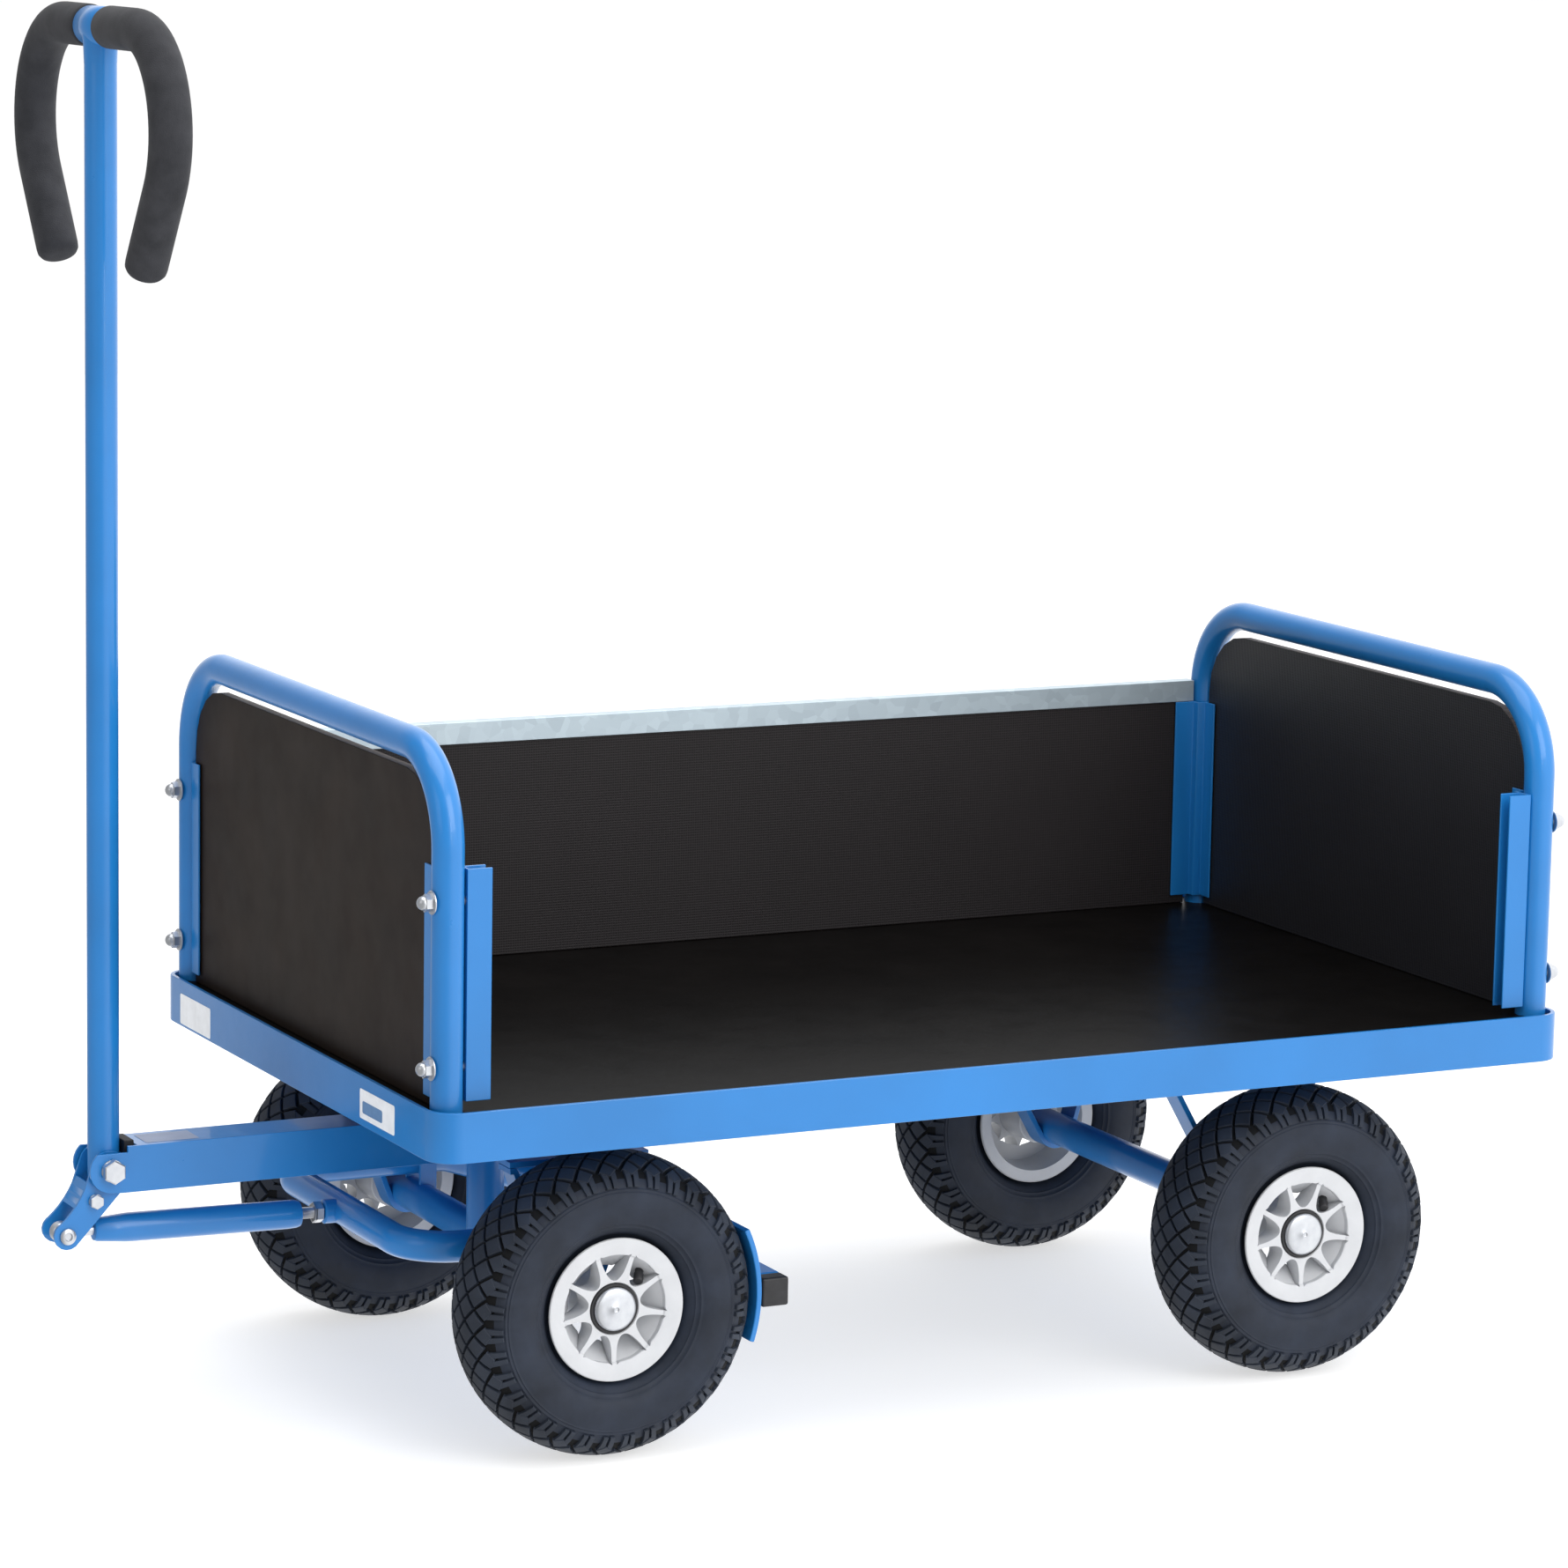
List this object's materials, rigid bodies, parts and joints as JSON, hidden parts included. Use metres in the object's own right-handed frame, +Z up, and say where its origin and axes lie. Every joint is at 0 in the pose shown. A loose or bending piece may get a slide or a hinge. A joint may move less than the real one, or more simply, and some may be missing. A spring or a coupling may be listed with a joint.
{
  "type": "platform hand cart with drawbar",
  "caption": "Four-wheeled platform hand cart with tube end hoops, a lift-out side wall, a steered front bogie and an upright drawbar that works a tyre brake.",
  "frame": {"origin": "middle of the cart's box, on the ground", "axes": "+X forward towards the drawbar, +Y left towards the open side, +Z up"},
  "size_m": [1.3199, 0.638, 1.1975],
  "materials": {
    "blue_paint": "glossy powder coat",
    "film_board": "smooth dark phenolic film on plywood",
    "mesh_board": "fine mesh print in dark phenolic film on plywood",
    "galvanised": "hot-dip galvanised sheet",
    "zinc": "bright zinc plate",
    "rubber": "moulded rubber",
    "rubber_tyre": "black tyre rubber",
    "foam": "closed-cell foam sleeve",
    "rim_plastic": "light grey moulded plastic",
    "black_plastic": "moulded plastic",
    "ring_steel": "zinc-plated pressed steel"
  },
  "bodies": {
    "platform": {"platform_frame": "blue_paint", "deck_board": "film_board", "front_hoop": "blue_paint", "front_panel": "film_board", "post_profile_front_left": "blue_paint", "post_bolt_front_left_lower": "zinc", "post_bolt_front_left_upper": "zinc", "post_profile_front_right": "blue_paint", "post_bolt_front_right_lower": "zinc", "post_bolt_front_right_upper": "zinc", "rear_hoop": "blue_paint", "rear_panel": "film_board", "post_profile_rear_left": "blue_paint", "post_bolt_rear_left_lower": "zinc", "post_bolt_rear_left_upper": "zinc", "post_profile_rear_right": "blue_paint", "post_bolt_rear_right_lower": "zinc", "post_bolt_rear_right_upper": "zinc", "turntable_upper_ring": "ring_steel", "rear_axle": "blue_paint", "axle_cap_rear_left": "zinc", "axle_cap_rear_right": "zinc"},
    "side_wall": {"side_wall_panel": "mesh_board", "side_wall_cap_rail": "galvanised"},
    "bogie": {"turntable_lower_ring": "ring_steel", "turntable_ball_cage": "ring_steel", "tow_beam": "blue_paint", "front_axle": "blue_paint", "drawbar_pivot_bolt": "zinc", "drawbar_stop": "rubber", "axle_cap_front_left": "zinc", "axle_cap_front_right": "zinc"},
    "drawbar": {"drawbar_tube": "blue_paint", "grip_left": "foam", "grip_right": "foam", "brake_lever": "blue_paint", "lever_bolt": "zinc", "lever_screw_left": "zinc", "lever_screw_right": "zinc"},
    "brake": {"push_rod_eye": "zinc", "push_rod_tube": "blue_paint", "push_rod_nut": "zinc", "brake_bow": "blue_paint", "brake_bar": "blue_paint", "brake_shoe_left": "blue_paint", "brake_shoe_right": "blue_paint", "brake_bar_cap_left": "black_plastic", "brake_bar_cap_right": "black_plastic"},
    "front_left_wheel": {"tyre_front_left": "rubber_tyre", "rim_front_left": "rim_plastic", "wheel_bearing_front_left": "zinc"},
    "front_right_wheel": {"tyre_front_right": "rubber_tyre", "rim_front_right": "rim_plastic", "wheel_bearing_front_right": "zinc"},
    "rear_left_wheel": {"tyre_rear_left": "rubber_tyre", "rim_rear_left": "rim_plastic", "wheel_bearing_rear_left": "zinc"},
    "rear_right_wheel": {"tyre_rear_right": "rubber_tyre", "rim_rear_right": "rim_plastic", "wheel_bearing_rear_right": "zinc"}
  },
  "joints": [
    {"name": "side_wall_lift", "type": "slide", "parent": "platform", "child": "side_wall", "axis": [0, 0, 1], "range_m": [0, 0.23]},
    {"name": "bogie_steer", "type": "hinge", "parent": "platform", "child": "bogie", "pos_m": [0.25845, 0, 0.2564], "axis": [0, 0, 1], "range_deg": [-50, 50]},
    {"name": "drawbar_tilt", "type": "hinge", "parent": "bogie", "child": "drawbar", "pos_m": [0.61045, 0, 0.2243], "axis": [0, 1, 0], "range_deg": [0, 50], "stiffness_Nm_per_rad": 10, "springref_deg": -57.3},
    {"name": "brake_travel", "type": "slide", "parent": "bogie", "child": "brake", "axis": [1, 0, 0], "range_m": [-0.0554, 0]},
    {"name": "front_left_spin", "type": "hinge", "parent": "bogie", "child": "front_left_wheel", "pos_m": [0.25845, 0.245, 0.13], "axis": [0, 1, 0], "continuous": true},
    {"name": "front_right_spin", "type": "hinge", "parent": "bogie", "child": "front_right_wheel", "pos_m": [0.25845, -0.245, 0.13], "axis": [0, 1, 0], "continuous": true},
    {"name": "rear_left_spin", "type": "hinge", "parent": "platform", "child": "rear_left_wheel", "pos_m": [-0.41255, 0.245, 0.13], "axis": [0, 1, 0], "continuous": true},
    {"name": "rear_right_spin", "type": "hinge", "parent": "platform", "child": "rear_right_wheel", "pos_m": [-0.41255, -0.245, 0.13], "axis": [0, 1, 0], "continuous": true}
  ],
  "couplings": [
    {"joint": "brake_travel", "follows": "drawbar_tilt", "m_per_rad": -0.0633}
  ]
}
